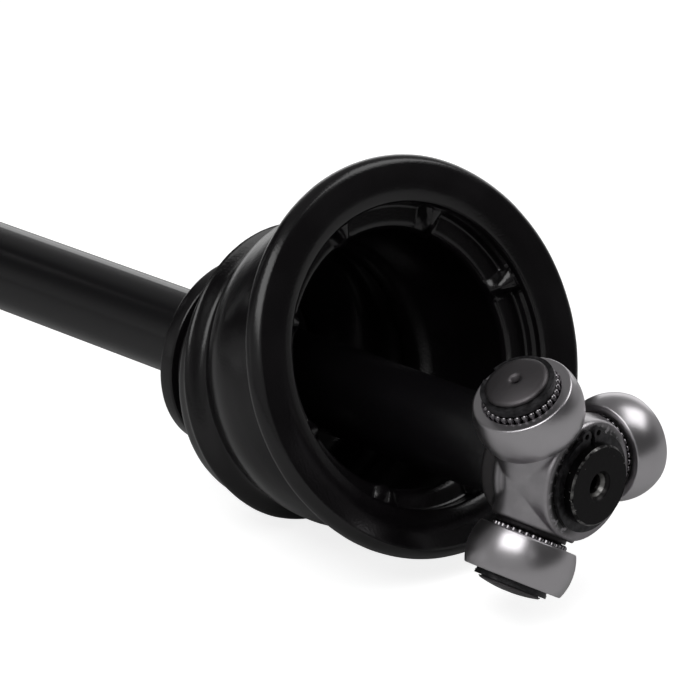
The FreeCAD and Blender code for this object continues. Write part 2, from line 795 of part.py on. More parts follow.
def outer_race_bell():
    """Bell with six ball tracks, boot seat, hub shoulder, pilot, spline and threaded end."""
    cavity_r = cage_r + sphere_gap
    seat_start = joint_x + boot_seat_start
    seat_end = seat_start + boot_seat_width
    shoulder_x = joint_x - bell_floor - shoulder_thick
    pilot_x = shoulder_x - pilot_length
    spline_x = pilot_x - stub_spline_length
    relief_x = spline_x - stub_relief_length
    thread_x = relief_x - stub_thread_length
    skin = revolve_x([
        (joint_x + bell_mouth, 0), (joint_x + bell_mouth, bell_r - bell_edge),
        (joint_x + bell_mouth - bell_edge, bell_r),
        (seat_end, bell_r), (seat_end, boot_seat_r), (seat_start, boot_seat_r),
        (seat_start, bell_r), (joint_x - bell_back, bell_r),
        (joint_x - bell_back - bell_slope_length, bell_r - bell_slope_drop),
        (joint_x - bell_floor + bell_neck_length, bell_neck_r),
        (joint_x - bell_floor, shoulder_r + bell_neck_edge),
        (joint_x - bell_floor, shoulder_r), (shoulder_x + shoulder_edge, shoulder_r),
        (shoulder_x, shoulder_r - shoulder_edge), (shoulder_x, pilot_r),
        (pilot_x + pilot_edge, pilot_r), (pilot_x, pilot_r - pilot_edge), (pilot_x, 0),
    ])
    spline = splined_bar(stub_spline_r, stub_spline_depth, stub_spline_teeth, spline_x, pilot_x)
    drill_end = thread_x + centre_drill_depth
    end = revolve_x([
        (spline_x, 0), (spline_x, stub_thread_r - stub_relief),
        (relief_x, stub_thread_r - stub_relief),
        (relief_x, stub_thread_r), (thread_x + stub_thread_edge, stub_thread_r),
        (thread_x, stub_thread_r - stub_thread_edge), (thread_x, centre_drill_r),
        (thread_x + centre_drill_cone, centre_drill_pilot_r), (drill_end, centre_drill_pilot_r),
        (drill_end + centre_drill_pilot_r / 2, 0),
    ])
    cavity = Part.makeSphere(cavity_r, Vec(joint_x, 0, 0))
    # The mouth opens as a cone from the sphere, so that the shaft can swing to its limit
    lip_angle = math.radians(bell_lip_deg)
    lip_x = joint_x + cavity_r * math.cos(lip_angle)
    lip_r = cavity_r * math.sin(lip_angle)
    mouth = revolve_x([(lip_x, 0), (lip_x, lip_r), (joint_x + bell_mouth, bell_mouth_r),
                       (joint_x + bell_mouth + 1, bell_mouth_r), (joint_x + bell_mouth + 1, 0)])
    reach = cylinder_x(bell_r, joint_x - track_back, joint_x + bell_mouth + 1)
    tracks = [ring.common(reach) for ring in race_tracks()]
    return skin.fuse([spline, end]).cut([cavity, mouth] + tracks)


def fold_point(share, inset):
    """Outboard boot's wavy side at a share of its length, moved in by a wall."""
    length = outer_boot_end - outer_boot_start
    drop = outer_boot_big_r - outer_boot_small_r
    dip = outer_boot_fold_depth * 0.5 * (1 + math.cos(2 * math.pi * outer_boot_folds * share))
    return Vec(joint_x + outer_boot_start + length * share, 0,
               outer_boot_big_r - drop * share - dip - inset)


def fold_curve(inset):
    steps = outer_boot_folds * 4
    curve = Part.BSplineCurve()
    curve.interpolate([fold_point(i / steps, inset) for i in range(steps + 1)])
    return curve.toShape()


def outboard_boot():
    """Tapered bellows from the bell's seat over its lip to the shaft."""
    seat_start = joint_x + boot_seat_start + soft_gap
    seat_end = joint_x + boot_seat_start + boot_seat_width - soft_gap
    lip_x = joint_x + bell_mouth + soft_gap
    lip_in = bell_r + soft_gap
    lip_out = lip_in + outer_boot_wall
    collar_out = boot_seat_r + outer_boot_wall + soft_gap
    tail_start = joint_x + outer_boot_end + outer_boot_tail_start
    tail_end = tail_start + outer_boot_tail
    tail_in = tube_r + soft_gap
    tail_out = tail_in + outer_boot_wall
    bead_x = tail_end - outer_boot_bead
    bead_r = tail_out + outer_boot_bead_height
    before = [(seat_start, boot_seat_r), (seat_start, collar_out),
              (seat_end - outer_boot_step, collar_out),
              (seat_end - outer_boot_step_edge, lip_out), (lip_x + outer_boot_lip, lip_out)]
    after = [(tail_start, tail_out), (bead_x, tail_out), (bead_x, bead_r), (tail_end, bead_r),
             (tail_end, tail_in), (tail_start, tail_in)]
    back = [(lip_x, lip_in), (seat_end, lip_in), (seat_end, boot_seat_r)]
    outer = fold_curve(0)
    inner = fold_curve(outer_boot_wall)

    def chain(points):
        return [Vec(x, 0, r) for x, r in points]

    steps = [Part.makePolygon(chain(before) + [fold_point(0, 0)]), outer,
             Part.makePolygon([fold_point(1, 0)] + chain(after) + [fold_point(1, outer_boot_wall)]),
             inner,
             Part.makePolygon([fold_point(0, outer_boot_wall)] + chain(back + before[:1]))]
    edges = [edge for step in steps for edge in step.Edges]
    wire = Part.Wire(Part.__sortEdges__(edges))
    return Part.Face(wire).revolve(ORIGIN, X_AXIS, 360)


def band_clamp(inner, middle):
    """Steel band clamp with a crimped ear on the upper side."""
    start = middle - clamp_width / 2
    band = ring_x(inner, inner + clamp_band, start, start + clamp_width)
    foot = inner + clamp_band / 2
    top = inner + clamp_ear_height
    waist = clamp_ear_half * clamp_ear_waist
    lid = clamp_ear_half * clamp_ear_top
    wide = clamp_ear_half + clamp_ear_foot
    outline = [(-wide, foot), (-waist, top - clamp_ear_lid), (-lid, top), (lid, top),
               (waist, top - clamp_ear_lid), (wide, foot)]
    spots = [Vec(start, y, z) for y, z in outline]
    ear = Part.Face(Part.makePolygon(spots + [spots[0]])).extrude(Vec(clamp_width, 0, 0))
    slot = Part.makeBox(clamp_width, 2 * clamp_ear_slot, clamp_ear_height - clamp_band,
                        Vec(start, -clamp_ear_slot, inner - clamp_overlap))
    core = cylinder_x(inner, start, start + clamp_width)
    return band.fuse(ear).cut([core, slot])


def outboard_clamp_large():
    return band_clamp(boot_seat_r + outer_boot_wall + soft_gap,
                      joint_x + boot_seat_start + 2 * soft_gap + clamp_width / 2)


def outboard_clamp_small():
    return band_clamp(tube_r + 2 * soft_gap + outer_boot_wall,
                      joint_x + outer_boot_end + outer_boot_tail_start + clamp_setback
                      + clamp_width / 2)


def all_nodes():
    """Every piece of the half shaft by name."""
    nodes = {
        "axle_shaft": axle_shaft(),
        "tripod_spider": tripod_spider(),
        "spider_circlip": spider_circlip(),
        "inboard_boot": inboard_boot(),
        "boot_bearing_inner_ring": boot_bearing_inner_ring(),
        "boot_bearing_outer_ring": boot_bearing_outer_ring(),
        "boot_bearing_balls": boot_bearing_balls(),
        "boot_bearing_cage": boot_bearing_cage(),
        "boot_bearing_seal_front": boot_bearing_seal(True),
        "boot_bearing_seal_rear": boot_bearing_seal(False),
        "outer_race_bell": outer_race_bell(),
        "inner_race": inner_race(),
        "inner_race_circlip": inner_race_circlip(),
        "ball_cage": ball_cage(),
        "outboard_boot": outboard_boot(),
        "outboard_clamp_large": outboard_clamp_large(),
        "outboard_clamp_small": outboard_clamp_small(),
    }
    for i in range(trunnion_count):
        number = str(i + 1)
        nodes["needles_" + number] = needle_set(i)
        nodes["roller_" + number] = roller(i)
        nodes["needle_washer_" + number] = needle_washer(i)
        nodes["trunnion_snap_ring_" + number] = trunnion_snap_ring(i)
    for i in range(ball_count):
        nodes["drive_ball_" + str(i + 1)] = drive_ball(i)
    return nodes


os.makedirs("parts", exist_ok=True)
for name, shape in all_nodes().items():
    shape.exportStep("parts/" + name + ".step")
    print(name, len(shape.Solids), round(shape.Volume), shape.isValid())
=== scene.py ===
import json
import math

import bpy
from mathutils import Matrix, Vector, noise


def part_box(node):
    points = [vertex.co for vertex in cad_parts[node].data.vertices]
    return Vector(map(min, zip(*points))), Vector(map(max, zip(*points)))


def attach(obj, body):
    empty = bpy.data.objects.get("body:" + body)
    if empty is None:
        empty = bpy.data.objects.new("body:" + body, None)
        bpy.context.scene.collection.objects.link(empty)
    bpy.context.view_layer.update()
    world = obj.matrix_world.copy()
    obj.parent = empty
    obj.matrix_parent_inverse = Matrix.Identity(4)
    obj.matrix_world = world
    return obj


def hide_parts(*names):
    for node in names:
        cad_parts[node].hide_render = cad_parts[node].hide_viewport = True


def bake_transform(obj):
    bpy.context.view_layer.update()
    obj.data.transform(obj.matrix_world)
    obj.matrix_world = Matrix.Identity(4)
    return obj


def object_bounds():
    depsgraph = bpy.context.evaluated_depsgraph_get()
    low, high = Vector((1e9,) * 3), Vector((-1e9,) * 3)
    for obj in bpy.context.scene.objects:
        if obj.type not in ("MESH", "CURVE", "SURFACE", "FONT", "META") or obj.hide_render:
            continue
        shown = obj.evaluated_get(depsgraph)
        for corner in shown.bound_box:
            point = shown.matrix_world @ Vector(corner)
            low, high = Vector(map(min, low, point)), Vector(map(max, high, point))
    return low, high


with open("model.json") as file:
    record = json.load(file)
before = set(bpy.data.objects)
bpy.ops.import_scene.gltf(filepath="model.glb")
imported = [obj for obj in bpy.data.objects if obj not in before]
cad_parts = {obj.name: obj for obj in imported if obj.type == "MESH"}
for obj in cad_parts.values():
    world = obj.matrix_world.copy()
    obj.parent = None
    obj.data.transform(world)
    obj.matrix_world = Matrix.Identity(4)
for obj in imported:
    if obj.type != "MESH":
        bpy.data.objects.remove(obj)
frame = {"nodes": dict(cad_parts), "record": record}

# Looks of a front-wheel half shaft: boot with its own bearing, tripod joint, ball joint and stub.
# Metres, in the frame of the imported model: origin at the centre of the spider, +X inboard, +Z up.

cad_low, cad_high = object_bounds()
MM = 0.001
UP = Vector((0, 0, 1))
X_AXIS = Vector((1, 0, 0))
mounts = {mount["name"]: mount for mount in frame["record"]["mounts"]}

# Camera: found from the circles of the tripod, the shaft and the boot's mouth in the photograph
camera_azimuth = 44.75
camera_elevation = 21.08
camera_distance = 1.2821
camera_aim_right = -0.0730
camera_aim_up = 0.04254
focal_pixels = 3601.4
photo_pixels = 700
sensor_mm = 36.0

# Inboard boot
boot_wall = 3.0 * MM
collar_r = 37.0 * MM
collar_back_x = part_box("inboard_boot")[0].x
collar_width = 6.7 * MM
collar_back_fillet = 1.4 * MM
collar_front_fillet = 1.2 * MM
collar_root_slope = 0.4 * MM
collar_root_fillet = 0.8 * MM
collar_front_x = -150.0 * MM
collar_groove_r = 33.4 * MM
collar_lip_r = 24.0 * MM
pocket_r = 31.0 * MM
pocket_back_x = -166.0 * MM
pocket_front_x = -152.0 * MM
pocket_lip_r = 28.0 * MM
pocket_lip_fillet = 0.4 * MM
pocket_lip_edge = 1.0 * MM
inside_clear = 1.5 * MM
collar_back_gap = 0.3 * MM
mouth_centre = Vector(mounts["boot_mouth"]["pos_m"])
mouth_normal = Vector(mounts["boot_mouth"]["axis"]).normalized()
mouth_lip_r = 56.3 * MM
lip_fillet = 2.6 * MM
lip_back_fillet = 0.5 * MM
lip_taper = 0.05 * MM
lip_undercut = 0.3 * MM
# Flange outline: depth behind the mouth plane, radius
rim_root = (9.0 * MM, 66.0 * MM)
rim_back = (6.4 * MM, 71.6 * MM)
rim_back_side = (5.2 * MM, 73.6 * MM)
rim_widest = (2.2 * MM, 74.3 * MM)
rim_shoulder = (-0.2 * MM, 73.4 * MM)
rim_edge = (-1.8 * MM, 71.4 * MM)
rim_front = (-1.92 * MM, 69.0 * MM)
rim_crown = (-2.0 * MM, 66.5 * MM)
rim_swell = (-1.44 * MM, 60.3 * MM)
lip_depth = 3.2 * MM
seat_groove_r = 58.2 * MM
seat_step_r = 56.8 * MM
seat_step_depth = 5.0 * MM
seat_step_lead = 0.4 * MM
seat_step_run = 1.6 * MM
seat_root_fillet = 0.5 * MM
seat_end_fillet = 1.8 * MM
ridge_r = 48.2 * MM
ridge_depth = 10.85 * MM
ridge_thick = 3.4 * MM
ridge_fillet = 3.4 * MM
ridge_side = 3.2 * MM
ridge_front = 1.6 * MM
ridge_lead = 0.4 * MM
ridge_back_fillet = 0.6 * MM
ridge_back_step = 0.1 * MM
ridge_back_slope = 0.2 * MM
ridge_back_rise = 2.0 * MM
rib_count = 8
rib_first_deg = 18.0
rib_half_width = 4.4 * MM
rib_lip_drop = 0.8 * MM
rib_rise = 2.2 * MM
rib_sink = 0.4 * MM
rib_lip_fillet = 1.2 * MM
rib_seat_fillet = 2.4 * MM
rib_ridge_fillet = 2.0 * MM
rib_ridge_lead = 0.5 * MM
rib_middle_r = mouth_lip_r - 3 * MM
rib_fullness = 0.8
spine_pull_back = 0.331
spine_pull_front = 0.255
fold_sag = 0.8 * MM
fold_lean = Vector((0, -0.085, 0.058))
# Unevenness of the moulding: height, and waves per metre
waver_broad = (0.22 * MM, 38)
waver_fine = (0.06 * MM, 160)
# Share of the way from the collar to the flange, and outer radius in millimetres
bellows_profile = (
    (0.00, 33.4), (0.03, 37.0), (0.097, 49.5), (0.195, 53.2), (0.252, 56.4), (0.309, 51.6),
    (0.366, 52.5), (0.422, 56.1), (0.53, 60.0), (0.636, 61.0), (0.74, 60.6), (0.85, 60.2),
    (0.93, 62.2), (1.00, 66.0),
)

# Spider and needles
hub_r = 22.2 * MM
hub_front_x = 15.7 * MM
hub_collar_end = -10.2 * MM
hub_band_end = -4.2 * MM
boss_top = 22.3 * MM
forging_fillet = 2.2 * MM
clip_grease_r = 21.6 * MM
clip_grease_fade = 2.2 * MM
grease_from = -14 * MM
grease_full = -2 * MM
trunnion_end_r = 44.6 * MM
needle_count = 32
needle_r = 1.25 * MM
needle_pitch_r = 13.02 * MM
needle_bottom = 24.0 * MM
needle_top = 40.9 * MM
needle_dome = 0.8
needle_tip_r = 0.01 * MM

# Inboard end of the shaft
end_face_x = 21.2 * MM
end_chamfer = 0.8 * MM
land_r = 14.95 * MM
countersink_r = 5.3 * MM
# Radii of a bright ring painted in the centre hole as the glint of its drilled cone
glint_ring_inner = 3.5 * MM
glint_ring_outer = 4.5 * MM
nicks_start_r = 11.5 * MM
nicks_full_r = 13.5 * MM
# How bright the chamfer is coloured in spots: rubbed-through wear together with a painted edge
# highlight
rubbed_and_highlight_share = 0.45
chamfer_edge = 0.1 * MM
paint_end_x = -17.5 * MM
sharp_edge = 0.2 * MM

# Outboard joint and its boot
joint_x = -480.0 * MM
bell_boot_folds = 5
bell_boot_start = 23.5 * MM
bell_boot_end = 86.0 * MM
bell_boot_big_r = 42.0 * MM
bell_boot_small_r = 26.0 * MM
bell_boot_depth = 5.5 * MM
bell_boot_wall = 2.3 * MM
bell_boot_tail = 12.0 * MM
bell_boot_root_r = 37.2 * MM
bell_boot_bead = 1.0 * MM
bell_boot_neck = 2.5 * MM
bell_seat_r = 41.0 * MM
bell_lip_r = 42.5 * MM
bell_mouth = 18.5 * MM
clamp_seat_start = 4.3 * MM
clamp_seat_end = 15.7 * MM
tube_r = 17.0 * MM
soft_gap = 0.3 * MM
thread_end_x = joint_x - 100.0 * MM
thread_length = 17.0 * MM
thread_r = 11.0 * MM
thread_pitch = 1.5 * MM
thread_depth = 0.45 * MM
thread_runout = 3.0 * MM
thread_lead = 1.8 * MM
thread_foot = 0.62 * MM
thread_crest = 0.1 * MM
thread_sink = -0.1 * MM
bell_skin_end = joint_x - 38.0 * MM
paint_outer_end = joint_x + 16.0 * MM


def linear(colour):
    """An sRGB hex colour as linear RGBA."""
    parts = [int(colour[i:i + 2], 16) / 255 for i in (1, 3, 5)]
    return [p / 12.92 if p <= 0.04045 else ((p + 0.055) / 1.055) ** 2.4 for p in parts] + [1]


def set_inputs(tree, node, inputs):
    """Set or link a node's inputs."""
    for name, value in inputs.items():
        if isinstance(value, bpy.types.NodeSocket):
            tree.links.new(value, node.inputs[name])
        else:
            node.inputs[name].default_value = value


def add(tree, kind, inputs, output=0, **settings):
    """Add a node with its own settings, set or link its inputs, and give one of its outputs."""
    node = tree.nodes.new("ShaderNode" + kind)
    for name, value in settings.items():
        setattr(node, name, value)
    set_inputs(tree, node, inputs)
    return node.outputs[output]


def new_material(name):
    material = bpy.data.materials.new(name)
    material.use_nodes = True
    return material, material.node_tree, material.node_tree.nodes["Principled BSDF"]


def per_metre(size_mm):
    """Noise scale that gives features of a size in millimetres."""
    return 1 / (size_mm * MM)


def speckle(tree, at, size_mm, detail, low, high):
    """Cloudy pattern of one grain size, spread over 0 to 1 between two levels."""
    clouds = add(tree, "TexNoise", {"Vector": at, "Scale": per_metre(size_mm), "Detail": detail})
    return add(tree, "MapRange", {"Value": clouds, "From Min": low, "From Max": high})


def shaft_place(tree):
    """Place on the object, its three parts, and the distance from the shaft's axis."""
    at = add(tree, "TexCoord", {}, "Object")
    parts = add(tree, "SeparateXYZ", {"Vector": at}).node.outputs
    across = add(tree, "VectorMath", {0: at, 1: (0, 1, 1)}, operation="MULTIPLY")
    return at, parts, add(tree, "VectorMath", {0: across}, "Value", operation="LENGTH")


def moulded_rubber(name, colour, bloom, low_rough, high_rough):
    """Moulded rubber: satin black, with a fine mould grain and a faint grey bloom in patches."""
    material, tree, shader = new_material(name)
    at = add(tree, "TexCoord", {}, "Object")
    patches = speckle(tree, at, 28.0, 3.0, 0.42, 0.68)
    # The real mould grain is finer; it is drawn as coarse as it needs to show
    grain = speckle(tree, at, 0.9, 2.0, 0.3, 0.7)
    shades = {0: patches, 6: linear(colour), 7: linear(bloom)}
    dulling = {"Value": patches, "To Min": low_rough, "To Max": high_rough}
    set_inputs(tree, shader, {
        "Base Color": add(tree, "Mix", shades, 2, data_type="RGBA"),
        "Roughness": add(tree, "MapRange", dulling),
        "Normal": add(tree, "Bump", {"Height": grain, "Strength": 1.0, "Distance": 0.02 * MM}),
        "IOR": 1.5,
    })
    return material


def end_face_steel(tree, at, along, radius):
    """Oxide-black end of the shaft: nicks near its rim, a rubbed chamfer that also carries a
    painted edge highlight, a bright ring painted as the centre hole's glint.
    """
    near_rim = add(tree, "MapRange", {
        "Value": radius, "From Min": nicks_start_r, "From Max": nicks_full_r})
    specks = speckle(tree, at, 1.1, 3.0, 0.70, 0.74)
    nicks = add(tree, "Math", {0: specks, 1: near_rim}, operation="MULTIPLY")
    chamfer_r = land_r - end_chamfer
    chamfer_x = end_face_x - end_chamfer
    outside = add(tree, "MapRange", {
        "Value": radius, "From Min": chamfer_r, "From Max": chamfer_r + chamfer_edge})
    at_end = add(tree, "MapRange", {
        "Value": along, "From Min": chamfer_x, "From Max": chamfer_x + chamfer_edge})
    chamfer = add(tree, "Math", {0: outside, 1: at_end}, operation="MULTIPLY")
    # Painted highlight: spots on the chamfer are coloured bright, partly as rubbed-through oxide,
    # partly as the light that the edge catches
    patches = speckle(tree, at, 3.5, 2.0, 0.45, 0.65)
    rubbed_edge_and_highlight = add(tree, "Math", {0: patches, 1: rubbed_and_highlight_share}, operation="MULTIPLY")
    rubbed_edge_and_highlight = add(tree, "Math", {0: chamfer, 1: rubbed_edge_and_highlight}, operation="MULTIPLY")
    wear_and_edge_highlight = add(tree, "Math", {0: nicks, 1: rubbed_edge_and_highlight}, operation="MAXIMUM")
    # The light grey is real wear at the nicks, and wear plus a painted highlight on the chamfer
    shades = {0: wear_and_edge_highlight, 6: linear("#1d1c1d"), 7: linear("#b9b8b6")}
    steel = add(tree, "Mix", shades, 2, data_type="RGBA")
    drilled = add(tree, "MapRange", {
        "Value": radius, "From Min": countersink_r, "From Max": countersink_r - sharp_edge})
    steel = add(tree, "Mix", {0: drilled, 6: steel, 7: linear("#2b2a2a")}, 2, data_type="RGBA")
    # Painted highlight: a bright ring in the countersink stands in for the glint of the drilled
    # cone
    past_inner = add(tree, "MapRange", {
        "Value": radius, "From Min": glint_ring_inner, "From Max": glint_ring_inner + sharp_edge})
    before_outer = add(tree, "MapRange", {
        "Value": radius, "From Min": glint_ring_outer, "From Max": glint_ring_outer - sharp_edge})
    painted_glint_ring = add(tree, "Math", {0: past_inner, 1: before_outer}, operation="MULTIPLY")
    return add(tree, "Mix", {0: painted_glint_ring, 6: steel, 7: linear("#8f8e8c")}, 2, data_type="RGBA")


def dip_paint_and_oxide():
    """Dip-painted tube: semi-gloss black with orange peel, its bare ends black from hardening."""
    material, tree, shader = new_material("dip_painted_steel_tube")
    at, parts, radius = shaft_place(tree)
    along = parts[0]
    inner_end = add(tree, "MapRange", {
        "Value": along, "From Min": paint_end_x, "From Max": paint_end_x + 0.5 * MM})
    outer_end = add(tree, "MapRange", {
        "Value": along, "From Min": paint_outer_end, "From Max": paint_outer_end - 1.0 * MM})
    bare = add(tree, "Math", {0: inner_end, 1: outer_end}, operation="MAXIMUM")
    steel = end_face_steel(tree, at, along, radius)
    peel = speckle(tree, at, 2.5, 2.0, 0.3, 0.7)
    shades = {0: bare, 6: linear("#0c0b0d"), 7: steel}
    set_inputs(tree, shader, {
        "Base Color": add(tree, "Mix", shades, 2, data_type="RGBA"),
        "Metallic": bare,
        "Roughness": add(tree, "MapRange", {"Value": bare, "To Min": 0.24, "To Max": 0.36}),
        "Normal": add(tree, "Bump", {"Height": peel, "Strength": 1.0, "Distance": 0.012 * MM}),
    })
    return material


def trunnion_height(tree, at):
    """Height along the nearest trunnion, which tells the bosses and journals from the hub."""
    highest = -1.0
    for axis in trunnion_axes():
        height = add(tree, "VectorMath", {0: at, 1: axis}, "Value", operation="DOT_PRODUCT")
        highest = add(tree, "Math", {0: highest, 1: height}, operation="MAXIMUM")
    return highest


def clip_grease(tree, at, parts, radius, front):
    """Black grease pressed out round the clip on the hub's face, most of it on the upper left."""
    leftward = add(tree, "Math", {0: parts[2], 1: parts[1]}, operation="SUBTRACT")
    side = add(tree, "MapRange", {
        "Value": leftward, "From Min": grease_from, "From Max": grease_full})
    near_clip = add(tree, "MapRange", {
        "Value": radius, "From Min": clip_grease_r, "From Max": clip_grease_r - clip_grease_fade})
    blots = speckle(tree, at, 2.2, 3.0, 0.39, 0.46)
    smeared = add(tree, "Math", {0: side, 1: blots}, operation="MULTIPLY")
    around = add(tree, "Math", {0: front, 1: near_clip}, operation="MULTIPLY")
    return add(tree, "Math", {0: around, 1: smeared}, operation="MULTIPLY")


def turned_steel():
    """Forged steel, turned and washed: satin hub, painted shade on collar and boss tops, dull ends.
    """
    material, tree, shader = new_material("turned_forged_steel")
    at, parts, radius = shaft_place(tree)
    along = parts[0]
    height = trunnion_height(tree, at)
    # Turning marks, drawn wider apart than the real feed so that they show
    bands_at = add(tree, "CombineXYZ", {"X": along, "Y": radius})
    bands = speckle(tree, bands_at, 0.7, 2.0, 0.3, 0.7)
    stains = speckle(tree, at, 7.0, 3.0, 0.4, 0.7)
    barrel = add(tree, "MapRange", {
        "Value": radius, "From Min": hub_r + 0.9 * MM, "From Max": hub_r + 0.3 * MM})
    behind = add(tree, "MapRange", {
        "Value": along,
        "From Min": hub_collar_end + 0.6 * MM,
        "From Max": hub_collar_end - 0.4 * MM,
    })
    # Painted shade: the collar behind the hub's barrel and the tops of the bosses are coloured
    # darker, as shade from the boot and the rollers
    collar = add(tree, "Math", {0: barrel, 1: behind}, operation="MULTIPLY")
    boss = add(tree, "MapRange", {
        "Value": height, "From Min": boss_top - 1.2 * MM, "From Max": boss_top})
    collar_and_boss_shade = add(tree, "Math", {0: collar, 1: boss}, operation="MAXIMUM")
    journal_end = add(tree, "MapRange", {
        "Value": height, "From Min": trunnion_end_r - 0.3 * MM, "From Max": trunnion_end_r})
    front = add(tree, "MapRange", {
        "Value": along, "From Min": hub_front_x - 0.5 * MM, "From Max": hub_front_x - 0.2 * MM})
    past_band = add(tree, "MapRange", {
        "Value": along, "From Min": hub_band_end + 0.5 * MM, "From Max": hub_band_end - 0.5 * MM})
    banded = add(tree, "Math", {0: barrel, 1: past_band}, operation="MULTIPLY")
    in_bands = add(tree, "Math", {0: bands, 1: banded}, operation="MULTIPLY")
    tool_marks = add(tree, "Math", {0: in_bands, 1: 0.6}, operation="MULTIPLY")
    shades = {0: stains, 6: linear("#aca9ac"), 7: linear("#bab7ba")}
    steel = add(tree, "Mix", shades, 2, data_type="RGBA")
    # The dark grey of the collar and the boss tops is painted shade, not a finish of the steel
    zones = (
        (tool_marks, "#7b787b"), (front, "#939093"), (collar_and_boss_shade, "#4d4b4c"), (journal_end, "#625f61"),
    )
    for zone, colour in zones:
        steel = add(tree, "Mix", {0: zone, 6: steel, 7: linear(colour)}, 2, data_type="RGBA")
    grease = clip_grease(tree, at, parts, radius, front)
    dull = add(tree, "Math", {0: collar_and_boss_shade, 1: journal_end}, operation="MAXIMUM")
    dulled = add(tree, "Math", {0: dull, 1: 0.08}, operation="MULTIPLY")
    satin = add(tree, "MapRange", {"Value": bands, "To Min": 0.30, "To Max": 0.38})
    greased = {0: grease, 6: steel, 7: linear("#080707")}
    set_inputs(tree, shader, {
        "Base Color": add(tree, "Mix", greased, 2, data_type="RGBA"),
        "Metallic": add(tree, "Math", {0: 1.0, 1: grease}, operation="SUBTRACT"),
        "Roughness": add(tree, "Math", {0: satin, 1: dulled}, operation="ADD"),
        # The forging's soft fillets, where hub and bosses run into each other
        "Normal": add(tree, "Bevel", {"Radius": forging_fillet}, samples=8),
    })
    return material


def bright_steel(name, light, dark, low_rough, high_rough, mark_mm):
    """Bearing steel, ground, lapped or pressed: bright, cool grey, with faint clouds."""
    material, tree, shader = new_material(name)
    at = add(tree, "TexCoord", {}, "Object")
    clouds = speckle(tree, at, mark_mm, 3.0, 0.35, 0.7)
    shades = {0: clouds, 6: linear(light), 7: linear(dark)}
    dulling = {"Value": clouds, "To Min": low_rough, "To Max": high_rough}
    set_inputs(tree, shader, {
        "Base Color": add(tree, "Mix", shades, 2, data_type="RGBA"),
        "Metallic": 1.0,
        "Roughness": add(tree, "MapRange", dulling),
    })
    return material


def oxide_steel():
    """Spring steel blackened in hot oxide: near black with a dull oily shine."""
    material, tree, shader = new_material("black_oxide_spring_steel")
    at = add(tree, "TexCoord", {}, "Object")
    oil = speckle(tree, at, 3.0, 3.0, 0.4, 0.65)
    shades = {0: oil, 6: linear("#2a292b"), 7: linear("#454446")}
    set_inputs(tree, shader, {
        "Base Color": add(tree, "Mix", shades, 2, data_type="RGBA"),
        "Metallic": 0.8,
        "Roughness": add(tree, "MapRange", {"Value": oil, "To Min": 0.28, "To Max": 0.48}),
    })
    return material


def forged_bell():
    """Forged and phosphated steel: a dark, grainy skin, with the turned stub left bright."""
    material, tree, shader = new_material("phosphated_forging")
    at, parts, radius = shaft_place(tree)
    turned = add(tree, "MapRange", {
        "Value": parts[0], "From Min": bell_skin_end, "From Max": bell_skin_end - 1.0 * MM})
    skin = speckle(tree, at, 1.6, 4.0, 0.3, 0.7)
    bands_at = add(tree, "CombineXYZ", {"X": parts[0], "Y": radius})
    bands = speckle(tree, bands_at, 0.8, 2.0, 0.3, 0.7)
    dark_shades = {0: skin, 6: linear("#242425"), 7: linear("#3a3a3b")}
    dark = add(tree, "Mix", dark_shades, 2, data_type="RGBA")
    bright_shades = {0: bands, 6: linear("#8b8b8a"), 7: linear("#a6a5a3")}
    bright = add(tree, "Mix", bright_shades, 2, data_type="RGBA")
    set_inputs(tree, shader, {
        "Base Color": add(tree, "Mix", {0: turned, 6: dark, 7: bright}, 2, data_type="RGBA"),
        "Metallic": add(tree, "MapRange", {"Value": turned, "To Min": 0.6, "To Max": 1.0}),
        "Roughness": add(tree, "MapRange", {"Value": turned, "To Min": 0.62, "To Max": 0.30}),
        "Normal": add(tree, "Bump", {"Height": skin, "Strength": 1.0, "Distance": 0.03 * MM}),
    })
    return material


def strip_steel():
    """Rolled stainless strip: bright, with fine lines that run round the shaft."""
    material, tree, shader = new_material("rolled_stainless_strip")
    at, parts, radius = shaft_place(tree)
    # The real lines are finer; they are drawn as coarse as they need to show
    lines_at = add(tree, "CombineXYZ", {"X": parts[0], "Y": radius})
    lines = speckle(tree, lines_at, 0.25, 2.0, 0.3, 0.7)
    set_inputs(tree, shader, {
        "Base Color": linear("#b4b2ad"),
        "Metallic": 1.0,
        "Roughness": add(tree, "MapRange", {"Value": lines, "To Min": 0.2, "To Max": 0.36}),
    })
    return material


def make_materials():
    lapped = bright_steel("lapped_bearing_steel", "#918e91", "#838083", 0.14, 0.20, 5.0)
    return {
        "black_paint": dip_paint_and_oxide(),
        "machined_steel": turned_steel(),
        "ground_steel": bright_steel("ground_roller_steel", "#c2bfc2", "#bebbbe", 0.30, 0.32, 14.0),
        "bearing_steel": lapped,
        "spring_steel": oxide_steel(),
        "pressed_steel": bright_steel("pressed_cage_steel", "#77767a", "#66656a", 0.32, 0.45, 3.0),
        "forged_bell": forged_bell(),
        "boot_rubber": moulded_rubber("moulded_chloroprene", "#0b090b", "#100e10", 0.20, 0.26),
        "seal_rubber": moulded_rubber("moulded_nitrile_seal", "#141313", "#1c1b1b", 0.6, 0.7),
        "bellows_plastic": moulded_rubber(
            "moulded_elastomer_bellows", "#0f0f10", "#161617", 0.38, 0.48),
        "clamp_steel": strip_steel(),
    }


def corner(before, at, after, radius, steps, most_before, most_after):
    """Points of a fillet at a corner of an outline, which takes at most a share of each side."""
    towards = (before - at)
    away = (after - at)
    half = towards.angle(away) / 2
    cut = min(radius / math.tan(half), most_before * towards.length, most_after * away.length)
    start = at + towards.normalized() * cut
    end = at + away.normalized() * cut
    shares = [i / steps for i in range(steps + 1)]
    return [start * (1 - t) ** 2 + at * (2 * t * (1 - t)) + end * t * t for t in shares]


